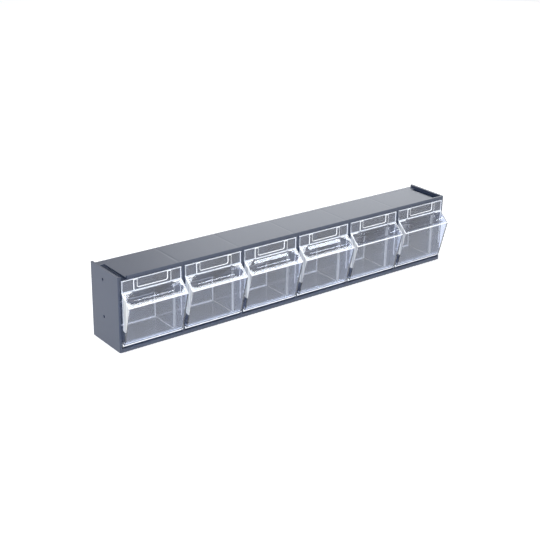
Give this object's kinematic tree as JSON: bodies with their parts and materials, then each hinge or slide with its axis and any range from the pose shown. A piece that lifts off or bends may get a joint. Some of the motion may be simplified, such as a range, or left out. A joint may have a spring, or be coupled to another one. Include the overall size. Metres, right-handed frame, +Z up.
{
  "type": "tip-out bin",
  "caption": "Long wall or bench housing with a row of clear bins that tip forward on side pins to give access to small parts.",
  "frame": {"origin": "centre of the face that the housing stands on, midway along its length and its depth", "axes": "+X along the length, to the right as seen from the front; the bins open towards -Y; +Z up"},
  "size_m": [0.6, 0.091, 0.111],
  "materials": {
    "housing_plastic": "satin moulded high-impact polystyrene",
    "clear_plastic": "polished clear polystyrene"
  },
  "bodies": {
    "housing": {"housing": "housing_plastic"},
    "bin_1": {"bin_1": "clear_plastic"},
    "bin_2": {"bin_2": "clear_plastic"},
    "bin_3": {"bin_3": "clear_plastic"},
    "bin_4": {"bin_4": "clear_plastic"},
    "bin_5": {"bin_5": "clear_plastic"},
    "bin_6": {"bin_6": "clear_plastic"}
  },
  "joints": [
    {"name": "bin_1_tip", "type": "hinge", "parent": "housing", "child": "bin_1", "pos_m": [-0.24858, -0.0295, 0.012], "axis": [1, 0, 0], "range_deg": [0, 45]},
    {"name": "bin_2_tip", "type": "hinge", "parent": "housing", "child": "bin_2", "pos_m": [-0.14915, -0.0295, 0.012], "axis": [1, 0, 0], "range_deg": [0, 45]},
    {"name": "bin_3_tip", "type": "hinge", "parent": "housing", "child": "bin_3", "pos_m": [-0.04972, -0.0295, 0.012], "axis": [1, 0, 0], "range_deg": [0, 45]},
    {"name": "bin_4_tip", "type": "hinge", "parent": "housing", "child": "bin_4", "pos_m": [0.04972, -0.0295, 0.012], "axis": [1, 0, 0], "range_deg": [0, 45]},
    {"name": "bin_5_tip", "type": "hinge", "parent": "housing", "child": "bin_5", "pos_m": [0.14915, -0.0295, 0.012], "axis": [1, 0, 0], "range_deg": [0, 45]},
    {"name": "bin_6_tip", "type": "hinge", "parent": "housing", "child": "bin_6", "pos_m": [0.24858, -0.0295, 0.012], "axis": [1, 0, 0], "range_deg": [0, 45]}
  ]
}
